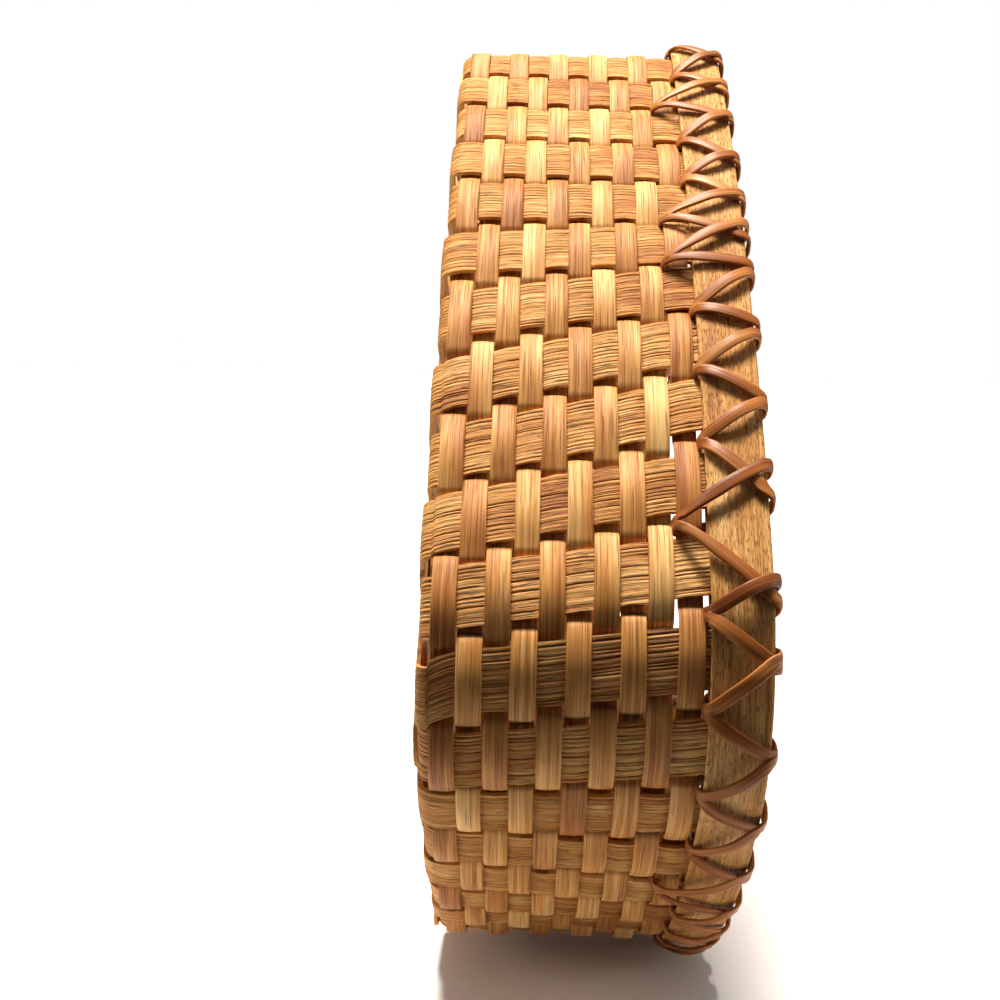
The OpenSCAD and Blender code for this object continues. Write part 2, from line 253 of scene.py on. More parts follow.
def lay(strip, points, t, u, tone, groove, slot_shade, shift):
    """Lays a flat strip along its route, keeping its own millimetres in its UV map."""
    mesh = strip.data
    mesh.vertices.foreach_set("co", (points * MM).astype(np.float32).ravel())
    mesh.uv_layers[0].name = "strip"
    corner = np.zeros(len(mesh.loops), np.int32)
    mesh.loops.foreach_get("vertex_index", corner)
    # Each strip has its own stretch of the pattern
    flat = np.stack([t[corner] + shift, u[corner] + 0.37 * shift], -1)
    mesh.uv_layers["strip"].data.foreach_set("uv", flat.astype(np.float32).ravel())
    for name, value in (("tone", tone), ("groove", groove), ("slot_shade", slot_shade)):
        shade = mesh.attributes.new(name, "FLOAT", "POINT")
        shade.data.foreach_set("value", np.broadcast_to(value, t.shape).astype(np.float32))
    half = np.abs(u).max()
    for name, value in (("crown", 1 - (u / half) ** 2), ("cut", np.broadcast_to(groove, t.shape))):
        group = strip.vertex_groups.new(name=name)
        grade = np.rint(value * GRADES)
        for v in np.unique(grade[grade > 0]):
            group.add(np.nonzero(grade == v)[0].tolist(), float(v / GRADES), "REPLACE")
    mesh.update()


def thicken(strip, thickness, edge, rounding, depth):
    """Gives a strip its thickness, with a share of it at the edges, and cuts its grooves into both faces."""
    bpy.context.view_layer.objects.active = strip
    body = strip.modifiers.new("thickness", "SOLIDIFY")
    body.thickness = thickness * MM
    body.offset = 0
    body.vertex_group = "crown"
    body.thickness_vertex_group = edge
    edges = strip.modifiers.new("edges", "BEVEL")
    edges.width = rounding * MM
    edges.segments = 2
    edges.limit_method = "ANGLE"
    edges.angle_limit = math.radians(ROUND_A)
    bpy.ops.object.modifier_apply(modifier="thickness")
    bpy.ops.object.modifier_apply(modifier="edges")
    if depth:
        grooves = strip.modifiers.new("grooves", "DISPLACE")
        grooves.direction = "NORMAL"
        grooves.strength = -depth * MM
        grooves.mid_level = 0
        grooves.vertex_group = "cut"
        bpy.ops.object.modifier_apply(modifier="grooves")
    strip.vertex_groups.clear()
    bpy.ops.object.shade_smooth_by_angle(angle=math.radians(SHARP_A))


def fit(strip, node, finish):
    strip.data.materials.clear()
    strip.data.materials.append(finish)
    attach(strip, "root")
    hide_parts(node)


# Materials
def srgb(code):
    parts = [int(code[i:i + 2], 16) / 255 for i in (1, 3, 5)]
    return tuple(c / 12.92 if c <= 0.04045 else ((c + 0.055) / 1.055) ** 2.4 for c in parts) + (1.0,)


def add(tree, kind, inputs, **settings):
    node = tree.nodes.new(kind)
    for name, value in settings.items():
        setattr(node, name, value)
    for name, value in inputs.items():
        if isinstance(value, bpy.types.NodeSocket):
            tree.links.new(value, node.inputs[name])
        else:
            node.inputs[name].default_value = value
    return node


# Painted shade: dark brown where a strip goes in between the stakes, in the shade of the slots there
SLOT_SHADE_COLOUR = "#2c1206"
# Places of the three tones on the ramp
TONE_STOPS = (0.34, 0.5, 0.66)


def rattan(name, tones, dark, fibre, vessel, groove_share, roughness, relief):
    """Rattan: straight fibres, open vessels cut along their length, cloudy tone and a dull sheen.

    A fibre has a length and a width in millimetres. A vessel has both too, then the level of its noise from
    which it shows, and its darkness. The relief is the height of the fibres in millimetres.
    """
    fibre_long, fibre_wide = fibre
    vessel_long, vessel_wide, vessel_from, vessel_dark = vessel
    mat = bpy.data.materials.new(name)
    mat.use_nodes = True
    tree = mat.node_tree
    tree.nodes.clear()
    out = add(tree, "ShaderNodeOutputMaterial", {})
    skin = add(tree, "ShaderNodeBsdfPrincipled", {"Roughness": roughness, "Specular IOR Level": 0.25})
    tree.links.new(skin.outputs["BSDF"], out.inputs["Surface"])
    place = add(tree, "ShaderNodeUVMap", {}, uv_map="strip").outputs["UV"]
    tone = add(tree, "ShaderNodeAttribute", {}, attribute_name="tone").outputs["Fac"]
    groove = add(tree, "ShaderNodeAttribute", {}, attribute_name="groove").outputs["Fac"]
    slot_shade = add(tree, "ShaderNodeAttribute", {}, attribute_name="slot_shade").outputs["Fac"]
    # Fibres
    fine_at = add(tree, "ShaderNodeMapping", {"Vector": place, "Scale": (1 / fibre_long, 1 / fibre_wide, 1)})
    fine = add(tree, "ShaderNodeTexNoise",
               {"Vector": fine_at.outputs[0], "Scale": 1, "Detail": 3, "Roughness": 0.65},
               noise_dimensions="2D")
    # Bundles of fibres, about three fibres wide and twice as long
    bundle_at = add(tree, "ShaderNodeMapping",
                    {"Vector": place, "Scale": (0.5 / fibre_long, 0.3 / fibre_wide, 1)})
    bundle = add(tree, "ShaderNodeTexNoise", {"Vector": bundle_at.outputs[0], "Scale": 1, "Detail": 2},
                 noise_dimensions="2D")
    # Cloudy change of tone, 40 mm by 10 mm
    cloud_at = add(tree, "ShaderNodeMapping", {"Vector": place, "Scale": (1 / 40, 1 / 10, 1)})
    cloud = add(tree, "ShaderNodeTexNoise", {"Vector": cloud_at.outputs[0], "Scale": 1, "Detail": 2},
                noise_dimensions="2D")
    # Vessels, as dark dashes
    dash_at = add(tree, "ShaderNodeMapping",
                  {"Vector": place, "Scale": (1 / vessel_long, 1 / vessel_wide, 1)})
    dash = add(tree, "ShaderNodeTexNoise", {"Vector": dash_at.outputs[0], "Scale": 1, "Detail": 1},
               noise_dimensions="2D")
    dash_on = add(tree, "ShaderNodeMapRange",
                  {"Value": dash.outputs["Fac"], "From Min": vessel_from, "From Max": vessel_from + 0.1,
                   "To Max": vessel_dark})
    # The colour follows the mean of the three noises, moved by the strip's own tone
    pair = add(tree, "ShaderNodeMath", {0: fine.outputs["Fac"], 1: bundle.outputs["Fac"]}, operation="ADD")
    three = add(tree, "ShaderNodeMath", {0: pair.outputs[0], 1: cloud.outputs["Fac"]}, operation="ADD")
    mixed = add(tree, "ShaderNodeMath", {0: three.outputs[0], 1: 0.3333, 2: tone}, operation="MULTIPLY_ADD")
    colour = add(tree, "ShaderNodeValToRGB", {"Fac": mixed.outputs[0]})
    colour.color_ramp.elements.new(TONE_STOPS[1])
    for stop, where, code in zip(colour.color_ramp.elements, TONE_STOPS, tones):
        stop.position = where
        stop.color = srgb(code)
    # Grooves and vessels are darker than the fibres round them; the grooves' darkness is partly their own and
    # partly painted shade
    deep = add(tree, "ShaderNodeMath", {0: groove, 1: groove_share}, operation="MULTIPLY")
    hollow = add(tree, "ShaderNodeMath", {0: deep.outputs[0], 1: dash_on.outputs[0]}, operation="MAXIMUM")
    tint = add(tree, "ShaderNodeMix", {0: hollow.outputs[0], 6: colour.outputs["Color"], 7: srgb(dark)},
               data_type="RGBA")
    # Painted shade: the slots where a strip goes in between the stakes are painted dark brown
    shaded_slots = add(tree, "ShaderNodeMix", {0: slot_shade, 6: tint.outputs[2], 7: srgb(SLOT_SHADE_COLOUR)}, data_type="RGBA")
    tree.links.new(shaded_slots.outputs[2], skin.inputs["Base Color"])
    # Bundles and fibres stand up, and vessels are cut in
    high = add(tree, "ShaderNodeMath", {0: bundle.outputs["Fac"], 1: 1.5, 2: fine.outputs["Fac"]},
               operation="MULTIPLY_ADD")
    low = add(tree, "ShaderNodeMath", {0: high.outputs[0], 1: dash_on.outputs[0]}, operation="SUBTRACT")
    bump = add(tree, "ShaderNodeBump", {"Strength": 1.0, "Distance": relief * MM, "Height": low.outputs[0]})
    tree.links.new(bump.outputs["Normal"], skin.inputs["Normal"])
    return mat


# Split face of the reed: stringy bundles with dark splits between them
splint_reed = rattan("rattan_reed_split_face", ("#9f5d28", "#cb8d47", "#e5b774"), "#4e220a",
                     fibre=(16, 0.34), vessel=(6, 0.34, 0.62, 0.55),
                     groove_share=0.85, roughness=0.65, relief=0.4)
# Smooth face of the reed: fine straight lines and a satin sheen
weaver_reed = rattan("rattan_reed_smooth_face", ("#a05f29", "#cc8e49", "#e9be78"), "#5e300e",
                     fibre=(45, 0.36), vessel=(18, 0.28, 0.64, 0.6),
                     groove_share=0.55, roughness=0.5, relief=0.14)
# Flat oval reed of the rim: streaks, and dark dots and short dashes where the vessels are cut open
rim_reed = rattan("rattan_flat_oval_reed", ("#9d642d", "#c88f4a", "#e4b876"), "#5e3412",
                  fibre=(26, 0.36), vessel=(2.4, 0.3, 0.585, 0.62),
                  groove_share=0.8, roughness=0.58, relief=0.2)
# Peeled cane of the lashing: smooth, reddish brown, with a low gloss
cane = rattan("rattan_peeled_cane", ("#753a13", "#9c5b25", "#bd8248"), "#52250a",
              fibre=(60, 0.7), vessel=(24, 0.45, 0.62, 0.5),
              groove_share=0.3, roughness=0.42, relief=0.06)


# Splints: each crosses the base and stands up at both ends as a stake

# Splints that run one way across the base
PER_WAY = 12
# Those up to this number end on the far lobe, and the others in the cleft
FAR_LOBE_N = 7
# A splint's number and the number of its far stake make these sums, on the far lobe and in the cleft
LOBE_SUM, CLEFT_SUM = 36, 31
# Radius of the bend between base and stake, at the middle of the thickness
FOOT_R = 3.2
# A stake turns along the wall at its foot, toward the way that its splint takes across the base. The turn is
# at its full size at the lower height and gone at the upper one
FOOT_TURN, FOOT_Z, TURN_TOP = 4.5, 2.0, 12.0
foot_turn = np.zeros(RING_N)


def stake_at(q, z):
    return STAKE_S[q] + LEAN[q] * (z - WALL_MID) / WALL_H


def foot_at(q):
    return stake_at(q, FOOT_Z) + foot_turn[q]


def foot(q):
    x, y, _ = ring(foot_at(q))
    return np.array([x, y])


def ends_of(i, left):
    """The stakes at the two ends of a splint, counted round the ring from the heart's point."""
    a = i - 1
    b = (LOBE_SUM if i <= FAR_LOBE_N else CLEFT_SUM) - i
    return (RING_N - 1 - a, RING_N - 1 - b) if left else (a, b)


for left in (False, True):
    for number in range(1, PER_WAY + 1):
        qa, qb = ends_of(number, left)
        across_base = foot(qb) - foot(qa)
        across_base /= np.linalg.norm(across_base)
        for q, way in ((qa, across_base), (qb, -across_base)):
            heading = ring(stake_at(q, FOOT_Z))[2]
            foot_turn[q] = FOOT_TURN * float(-np.sin(heading) * way[0] + np.cos(heading) * way[1])


def cross2(a, b):
    return a[0] * b[1] - a[1] * b[0]


# In the base a crossing counts if it lies this far inside both splints
INSIDE = 3
# A strip keeps its level this far past the crossing splint's edges, leaves room to change it before the next
# crossing, and eases the change at both ends
COVER_PAST, STEP_ROOM, STEP_EASE = 0.3, 0.9, 1.2


def base_levels(i, left):
    """Distances along the base at which the splint is over (1) or under (0) a crossing splint."""
    a, b = [foot(q) for q in ends_of(i, left)]
    marks = []
    for j in range(1, PER_WAY + 1):
        c, d = [foot(q) for q in ends_of(j, not left)]
        w = cross2(b - a, d - c)
        t, other = cross2(c - a, d - c) / w, cross2(c - a, b - a) / w
        ra, rb = np.linalg.norm(b - a), np.linalg.norm(d - c)
        if INSIDE < t * ra < ra - INSIDE and INSIDE < other * rb < rb - INSIDE:
            cosine = abs((b - a) @ (d - c)) / ra / rb
            cover = SPLINT_W / 2 * (1 + cosine) / math.sqrt(1 - cosine ** 2) + COVER_PAST
            marks.append((t * ra, ((i + j) % 2 == 0) != left, cover))
    marks.sort()
    xs, zs = [], []
    for m, (t, high, cover) in enumerate(marks):
        before, after = t, HEART_W
        if m > 0:
            before = min(cover, (t - marks[m - 1][0]) / 2 - STEP_ROOM)
        if m < len(marks) - 1:
            after = min(cover, (marks[m + 1][0] - t) / 2 - STEP_ROOM)
        xs += [t - before, t + after]
        zs += [float(high), float(high)]
    return xs, zs


# Grid steps up a stake and round a foot, and the length of one in the base
STAKE_STEPS, FOOT_STEPS, BASE_STEP = 37, 8, 2.7
# How far a stake bends between the weavers that pass it, and the heights between which that starts
STAKE_SWAY, SWAY_FROM, SWAY_FULL = 0.3, 3, 7
# From the wall, the runs over which a foot takes its level and its line in the base
LEVEL_RUN, LINE_RUN = 13, 17


def make_splint(i, left, order):
    node = "splint_%s%02d" % ("l" if left else "r", i)
    qa, qb = ends_of(i, left)
    a, b = foot(qa), foot(qb)
    xs, zs = base_levels(i, left)
    span = np.linalg.norm(b - a)
    d = (b - a) / span
    e = np.array([d[1], -d[0]])
    # The feet run nearly level, and step up or down once they are inside the wall
    low_z = SPLINT_T / 2
    za, zb = [low_z + MAT_STEP * (0.5 + 0.4 * (level - 0.5)) for level in (zs[0], zs[-1])]
    # Down one stake, round its foot, across the base, round the other foot and up the other stake
    bend = math.pi / 2 * FOOT_R
    up_a, up_b = STAKE_TOP - za - FOOT_R, STAKE_TOP - zb - FOOT_R
    marks = np.cumsum([0, up_a, bend, span - 2 * FOOT_R, bend, up_b])
    length = marks[-1]
    steps = (STAKE_STEPS, FOOT_STEPS, int((marks[3] - marks[2]) / BASE_STEP), FOOT_STEPS, STAKE_STEPS)
    stretches = [np.linspace(marks[m], marks[m + 1], steps[m])[1:] for m in range(5)]
    across, depth = strip_rows(SPLINT_W, seed=40 + order, gaps=(0.7, 1.55), depths=(0.3, 1.0), lip=0.22)
    strip, t, u0, row = flat_strip(node + "_strip", np.concatenate([[0.0]] + stretches), across)
    # Grooves that come and go along the strip, ridges of uneven height, and edges that aren't quite straight
    groove = depth[row] * np.clip(0.62 + 0.6 * drift(t / 33 + 0.9 * row, order), 0.06, 1)
    rib = 0.06 * drift(u0 * 2.3, order) + 0.04 * drift(t / 9 + 1.7 * row, order + 3)
    inner = 1 - (u0 / (SPLINT_W / 2)) ** 2
    at_edge = np.abs(u0) > SPLINT_W / 2 - 0.05
    u = u0 * (1 + 0.012 * drift(t / 37, order + 2)) + 0.15 * drift(t / 29, order + 4)
    u += inner * 0.35 * drift(t / 26, order + 6)
    u += np.where(at_edge, 0.14 * drift(t / 2.3, order + 7 + np.sign(u0)), 0)

    points = np.zeros((len(t), 3))
    # The two stakes
    for q, turn, here, z in ((qa, 1, t <= marks[1], STAKE_TOP - t),
                             (qb, -1, t >= marks[4], STAKE_TOP - (length - t))):
        z = z[here]
        s = stake_at(q, z) + foot_turn[q] * np.clip((TURN_TOP - z) / (TURN_TOP - FOOT_Z), 0, 1) ** 2
        course = (z - WALL_Z) / ROW_STEP
        weave = np.where((course > -0.2) & (course < ROWS + 0.2), 1, 0) * step(z, SWAY_FROM, SWAY_FULL)
        n = -STAKE_SWAY * weaver_side(1, q) * np.cos(math.pi * (course - 0.5)) * weave + rib[here]
        px, py = beside(s, turn * u[here], n)
        points[here] = np.stack([px, py, z], -1)
    # The two feet
    for q, turn, z0, here, past in ((qa, 1, za, (t > marks[1]) & (t <= marks[2]), t - marks[1]),
                                    (qb, -1, zb, (t > marks[3]) & (t < marks[4]), marks[4] - t)):
        angle = past[here] / bend * math.pi / 2
        r = FOOT_R + rib[here]
        px, py = beside(foot_at(q), turn * u[here], r * np.cos(angle) - FOOT_R)
        points[here] = np.stack([px, py, z0 + FOOT_R - r * np.sin(angle)], -1)

    # The base
    here = (t > marks[2]) & (t <= marks[3])
    run = t[here] - marks[2] + FOOT_R
    level = np.full(len(run), zs[0])
    for m in range(len(xs) - 1):
        level += (zs[m + 1] - zs[m]) * step(run, xs[m] - STEP_EASE, xs[m + 1] + STEP_EASE)
    z = low_z + MAT_STEP * level - rib[here]
    z += (za - low_z - MAT_STEP * zs[0]) * (1 - step(run, FOOT_R, LEVEL_RUN))
    z += (zb - low_z - MAT_STEP * zs[-1]) * (1 - step(span - run, FOOT_R, LEVEL_RUN))
    z = np.maximum(z, low_z - rib[here])
    wa, wb = step(run, FOOT_R, LINE_RUN), step(span - run, FOOT_R, LINE_RUN)
    ax, ay = beside(foot_at(qa), u[here], -run)
    bx, by = beside(foot_at(qb), -u[here], run - span)
    lx, ly = a[0] + d[0] * run + e[0] * u[here], a[1] + d[1] * run + e[1] * u[here]
    px = np.where(run < span / 2, ax * (1 - wa) + lx * wa, bx * (1 - wb) + lx * wb)
    py = np.where(run < span / 2, ay * (1 - wa) + ly * wa, by * (1 - wb) + ly * wb)
    points[here] = np.stack([px, py, z], -1)

    tone = 0.05 * drift(order * 1.9, 3) + 0.05 * drift(t / 55, order)
    lay(strip, points, t, u0, tone, groove, slot_shade=0.0, shift=531.7 * order)
    thicken(strip, SPLINT_T, edge=0.8, rounding=0.25, depth=0.5)
    fit(strip, node, splint_reed)


# Weavers: one strip to a row, over one stake and under the next, its two ends lapped behind a stake

# How far a weaver swings to each side of the stakes' line
WEAVER_SWING = 2.25
# The two ends lap, and the last one sinks inside the first between these distances from its end
LAP, LAP_SINK, SINK_FROM, SINK_TO = 12.4, 1.3, 17, 11
# The last row stands a little higher, and the others lower
LAST_RISE, ROW_DROP = 0.6, 0.15
# Stakes on the far side over which the rows' ends are spread, and how far each is on from the row below
LAP_FIRST, LAP_SPREAD, LAP_STRIDE = 26, 18, 7
# Runs from the point between which the sides of the heart go over into its lobes
LOBE_FROM, LOBE_TO = 232, 262
# As far as the lobes, a strip's way in is this much nearer to the stake that it goes behind
WAY_IN = 1.3
# Slope and run of the dive behind a stake
DIVE_SLOPE, DIVE_RUN = 0.16, 1.45
# Painted shade is darkest this far inside the line of the stakes
SHADE_IN, SHADE_SPREAD = 0.9, 0.55
# Length of a grid step
WEAVER_STEP = 1.1


def weaver_side(row, q):
    """The side of a stake on which a row passes: 1 outside and -1 inside."""
    return -1 if (row + q) % 2 == 0 else 1


def on_lobe(s):
    """0 along the two sides of the heart, and 1 over the lobes."""
    s = np.mod(s, RING_LEN)
    return step(np.minimum(s, RING_LEN - s), LOBE_FROM, LOBE_TO)


def make_weaver(row):
    node = "weaver_%02d" % row
    z = WALL_Z + (row - 0.5) * ROW_STEP + (LAST_RISE if row == ROWS else -ROW_DROP)
    places = stake_places(z)
    joint = EXTRA + LAP_FIRST + (row * LAP_STRIDE) % LAP_SPREAD
    joint += (row + joint) % 2
    start, end = places[joint] - LAP / 2, places[joint + RING_N] + LAP / 2
    length = end - start
    across, depth = strip_rows(WEAVER_W, seed=80 + row, gaps=(1.5, 2.6), depths=(0.1, 1.0), lip=0.28)
    along = np.linspace(0, length, int(length / WEAVER_STEP))
    strip, t, u, cut_row = flat_strip(node + "_strip", along, across)
    s = start + t
    # The strip goes through the wall between two stakes. As far as the lobes its way in is close to the stake
    # that it goes behind, on the side of the heart's point, so that little of a gap shows there
    gaps = (places[1:] + places[:-1]) / 2
    hides = (row + np.arange(len(gaps))) % 2
    right = np.mod(gaps, RING_LEN) < HALF_LEN
    gaps = gaps + WAY_IN * np.where(right, hides, hides - 1) * (1 - on_lobe(gaps))
    k = np.clip(np.searchsorted(gaps, s), 1, len(places) - 2)
    room = gaps[k] - gaps[k - 1]
    f = (s - gaps[k - 1]) / room - 0.5
    outside = (row + k) % 2 == 1
    # A long bow over each outer pass, and a quick dive behind the stakes
    bow = np.cos(math.pi * np.clip(f, -0.5, 0.5))
    past = (0.5 - np.clip(np.abs(f), 0, 0.5)) * room
    dive = np.tanh(DIVE_SLOPE * past + (past / DIVE_RUN) ** 2)
    n = np.where(outside, bow, -dive) * (WEAVER_SWING + 0.2 * drift(k * 1.3, row))
    n = n - LAP_SINK * step(t, length - SINK_FROM, length - SINK_TO)
    zz = z + u * (1 + 0.03 * drift(s / 23, row)) + 0.16 * drift(s / 41, row + 3)
    x, y = around(s, n, places)
    tone = 0.09 * drift(row * 2.7, 1) + 0.07 * drift(s / 47, row) + 0.03 * drift(k * 2.1, row + 8)
    groove = depth[cut_row] * np.clip(0.5 + 0.7 * drift(s / 43 + 2.1 * cut_row, row), 0, 1)
    # Painted shade, standing for the shade under the stakes' edges: it lies where the strip comes out of the
    # wall, on its way from the heart's point. Where it goes in there is little along the sides, and as much
    # over the lobes
    way_out = np.where(np.mod(s, RING_LEN) < HALF_LEN, f, -f) > 0
    shade_weight = np.where(way_out, 0.9, 0.15 + 0.75 * on_lobe(s))
    slot_shade = shade_weight * np.exp(-((n + SHADE_IN) / SHADE_SPREAD) ** 2)
    lay(strip, np.stack([x, y, zz], -1), t, u, tone, groove, slot_shade, shift=713.3 * row)
    thicken(strip, WEAVER_T, edge=0.6, rounding=0.22, depth=0.14)
    fit(strip, node, weaver_reed)


# Rim bands: flat oval reed, thinner toward its two edges

# The two ends of a band meet a little past this stake, on the far side
JOINT_STAKE, JOINT_PAST, JOINT_GAP = 33, 3, 0.2
# Below this height from its middle a band's grooves are deeper
LOW_EDGE, LOW_DEEPER = -5.6, 1.7
# Length of a grid step
RIM_STEP = 1.7


def make_rim(node, n, thickness, order):
    places = stake_places(RIM_Z + 2)
    start = places[EXTRA + JOINT_STAKE] + JOINT_PAST
    length = RING_LEN - JOINT_GAP
    across, depth = strip_rows(RIM_H, seed=90 + order, gaps=(1.3, 2.8), depths=(0.0, 0.6), lip=0.3)
    depth = np.where(across < LOW_EDGE, depth * LOW_DEEPER, depth)
    strip, t, u, row = flat_strip(node + "_strip", np.linspace(0, length, int(length / RIM_STEP)), across)
    s = start + t
    x, y = around(s, n + 0.08 * drift(s / 60, order), places)
    z = (RIM_Z + RIM_TOP) / 2 + u * (1 + 0.01 * drift(s / 45, order)) + 0.12 * drift(s / 70, order + 2)
    tone = 0.04 * drift(s / 80, order)
    groove = np.clip(depth[row] * np.clip(0.6 + 0.5 * drift(s / 60 + 1.9 * row, order), 0, 1), 0, 1)
    lay(strip, np.stack([x, y, z], -1), t, u, tone, groove, slot_shade=0.0, shift=911.0 * order)
    thicken(strip, thickness, edge=0.5, rounding=0.45, depth=0.2)
    fit(strip, node, rim_reed)


# Lashing: cane that goes through each gap under the rim and over the rim, in two passes that cross

# Height of the holes, and their share of the way from one stake to the next
HOLE_Z, HOLE_AT = WALL_TOP + 0.9, 0.56
# Gaps where it goes through a row lower, and how much lower
DEEP, DEEP_DROP = (1, 4, 5, 9, 14), 7.2
# How far past the next stake's middle a strand reaches the top edge, in stakes, where the photograph shows it
FAR_FIRST = {5: -0.33, 6: -0.17, 7: 0.0, 8: 0.25, 9: 0.43, 10: 0.08, 11: 0.02}
FAR_SECOND = {4: 0.0, 5: 0.27, 6: 0.11, 7: -0.05, 8: -0.09, 9: 0.12, 10: -0.22, 11: 0.0, 12: -0.05}
# How far a strand bows off the outer rim band, and how much the second pass is lifted over the first
STAND_OFF, LIFT = 1.0, 1.3
# Over the outer face: share of the way up, distance from the stakes and share of the lift
OUTER_FACE = ((0.17, 4.0, 0.0), (0.34, 4.4, 0.3), (0.5, 4.42, 0.8), (0.64, 4.44, 1.0), (0.8, 4.42, 0.85),
              (0.95, 4.25, 0.4))
MARKS_A_TURN = 16
# Length of a grid step, and rows across the cane
CANE_STEP, CANE_ROWS = 1.0, 7


def hole_z(gap):
    return HOLE_Z - (DEEP_DROP if gap % RING_N in DEEP else 0)


def lashing_marks(turn, order):
    """Places on a pass of cane: along the ring in stakes, outward from the stakes, and up."""
    far, lift = (FAR_FIRST, 0.0) if turn > 0 else (FAR_SECOND, LIFT)
    marks = []
    for m in range(RING_N + 1):
        g = m if turn > 0 else RING_N - m
        low, next_low = hole_z(g), hole_z(g + turn)
        over = far.get(g % RING_N, 0.08 + 0.14 * float(drift(g * 2.3, order)))
        hole, top, after = g + HOLE_AT, g + 0.5 + turn * (0.5 + over), g + HOLE_AT + turn
        reach, rise = top - hole, RIM_TOP + 0.2 - low
        marks += [(hole + turn * 0.02, 0.2, low), (hole + reach * 0.05, 2.7, low + 0.03 * rise)]
        for f, n, share in OUTER_FACE:
            bow = STAND_OFF * math.sin(math.pi * f)
            marks.append((hole + reach * f, n + share * lift + bow, low + rise * f))
        # Round the top edge, down the inner face and into the next hole
        marks += [
            (top, 3.1 + 0.2 * lift, RIM_TOP + 0.95),
            (top + turn * 0.015, 0.9, RIM_TOP + 1.3),
            (top + turn * 0.03, -1.5, RIM_TOP + 1.15),
            (top + turn * 0.05, -3.6, RIM_TOP - 0.2),
            (top * 0.75 + after * 0.25, -4.2, RIM_TOP - 3.2),
            (top * 0.4 + after * 0.6, -4.15, RIM_Z + 0.4 * RIM_H),
            (after - turn * 0.07, -3.9, max(next_low + 2.2, RIM_Z + 0.5)),
            (after - turn * 0.02, -2.4, next_low + 0.25),
        ]
    # The cane ends where it began
    return np.array(marks[:RING_N * MARKS_A_TURN + 1])


def smooth_line(path):
    """A smooth line through the marks, with nine steps from one to the next."""
    f = np.linspace(0, 1, 10)[:-1, None]
    line = []
    for m in range(len(path) - 1):
        p0, p1, p2, p3 = path[max(m - 1, 0)], path[m], path[m + 1], path[min(m + 2, len(path) - 1)]
        line.append(0.5 * (2 * p1 + (p2 - p0) * f + (2 * p0 - 5 * p1 + 4 * p2 - p3) * f ** 2
                           + (3 * p1 - p0 - 3 * p2 + p3) * f ** 3))
    return np.vstack(line + [path[-1:]])


def make_lashing(node, turn, order):
    places = stake_places(RIM_Z)
    marks = lashing_marks(turn, order)
    knots = np.interp(marks[:, 0], np.arange(len(places)) - EXTRA, places)
    line = smooth_line(np.stack([knots, marks[:, 1], marks[:, 2]], -1))
    run = np.concatenate([[0], np.cumsum(np.linalg.norm(np.diff(line, axis=0), axis=1))])
    length = run[-1]
    along = np.linspace(0, length, int(length / CANE_STEP))
    strip, t, u, _ = flat_strip(node + "_strip", along, np.linspace(-CANE_W / 2, CANE_W / 2, CANE_ROWS))

    def route(r):
        return [np.interp(np.clip(r, 0, length), run, line[:, c]) for c in range(3)]

    def spot(r):
        s, n, z = route(r)
        x, y = around(s, n, places)
        return np.stack([x, y, z], -1)

    ahead = spot(t + 0.6) - spot(t - 0.6)
    ahead /= np.linalg.norm(ahead, axis=1)[:, None]
    # The cane's outer face looks away from the middle of the rim: outward or inward beside it, up over its
    # top edge, and down in the holes under it
    s, n, z = route(t)
    heading = ring(s)[2]
    under = np.where(z < RIM_Z + 3, RIM_Z + 3 - z, 0)
    out_n = np.where(np.abs(n) < 3.1, n * 0.25, n - np.sign(n) * 2.2)
    out_z = np.where(z > RIM_TOP - 2, (z - RIM_TOP + 2) * 1.2, 0) - under * np.where(np.abs(n) < 3.4, 1, 0.15)
    face = np.stack([np.cos(heading) * out_n, np.sin(heading) * out_n, out_z], -1)
    face -= ahead * (face * ahead).sum(1)[:, None]
    face /= np.linalg.norm(face, axis=1)[:, None] + 1e-9
    wide = np.cross(face, ahead)
    # It is drawn narrower where it goes through a hole, and crowned across its face
    tight = 1 - 0.25 * np.clip(1 - (z - (RIM_Z - 3)) / 5, 0, 1)
    crown = 0.1 * (1 - (u / (CANE_W / 2)) ** 2)
    points = spot(t) + wide * (u * tight)[:, None] + face * crown[:, None]
    tone = 0.05 * drift(t / 37, order) + 0.05 * drift(t / 150, order + 2)
    lay(strip, points, t, u, tone, groove=0.0, slot_shade=0.0, shift=401.0 * order)
    thicken(strip, CANE_T, edge=0.72, rounding=0.32, depth=0.0)
    fit(strip, node, cane)


for number in range(1, PER_WAY + 1):
    make_splint(number, False, number)
    make_splint(number, True, number + PER_WAY)
for number in range(1, ROWS + 1):
    make_weaver(number)
make_rim("rim_outer", RIM_OUT, RIM_OUT_T, 1)
make_rim("rim_inner", RIM_IN, RIM_IN_T, 2)
make_lashing("lashing_first", 1, 1)
make_lashing("lashing_second", -1, 2)


# Stage, in metres: the basket stands on its two lobes, so the floor is square to Y
FLOOR_SIZE = 6
# The floor ends a little in front of the basket, so that the wall's middle stays in the shade
FLOOR_FRONT = 0.225
floor_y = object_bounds()[1][1] + 0.2 * MM
bpy.ops.object.select_all(action="DESELECT")
bpy.ops.mesh.primitive_plane_add(size=FLOOR_SIZE, location=(FLOOR_FRONT - FLOOR_SIZE / 2, floor_y, 0),
                                 rotation=(math.radians(90), 0, 0))
floor = bpy.context.active_object
floor.name = "floor"
bpy.ops.object.transform_apply(location=True, rotation=True, scale=True)
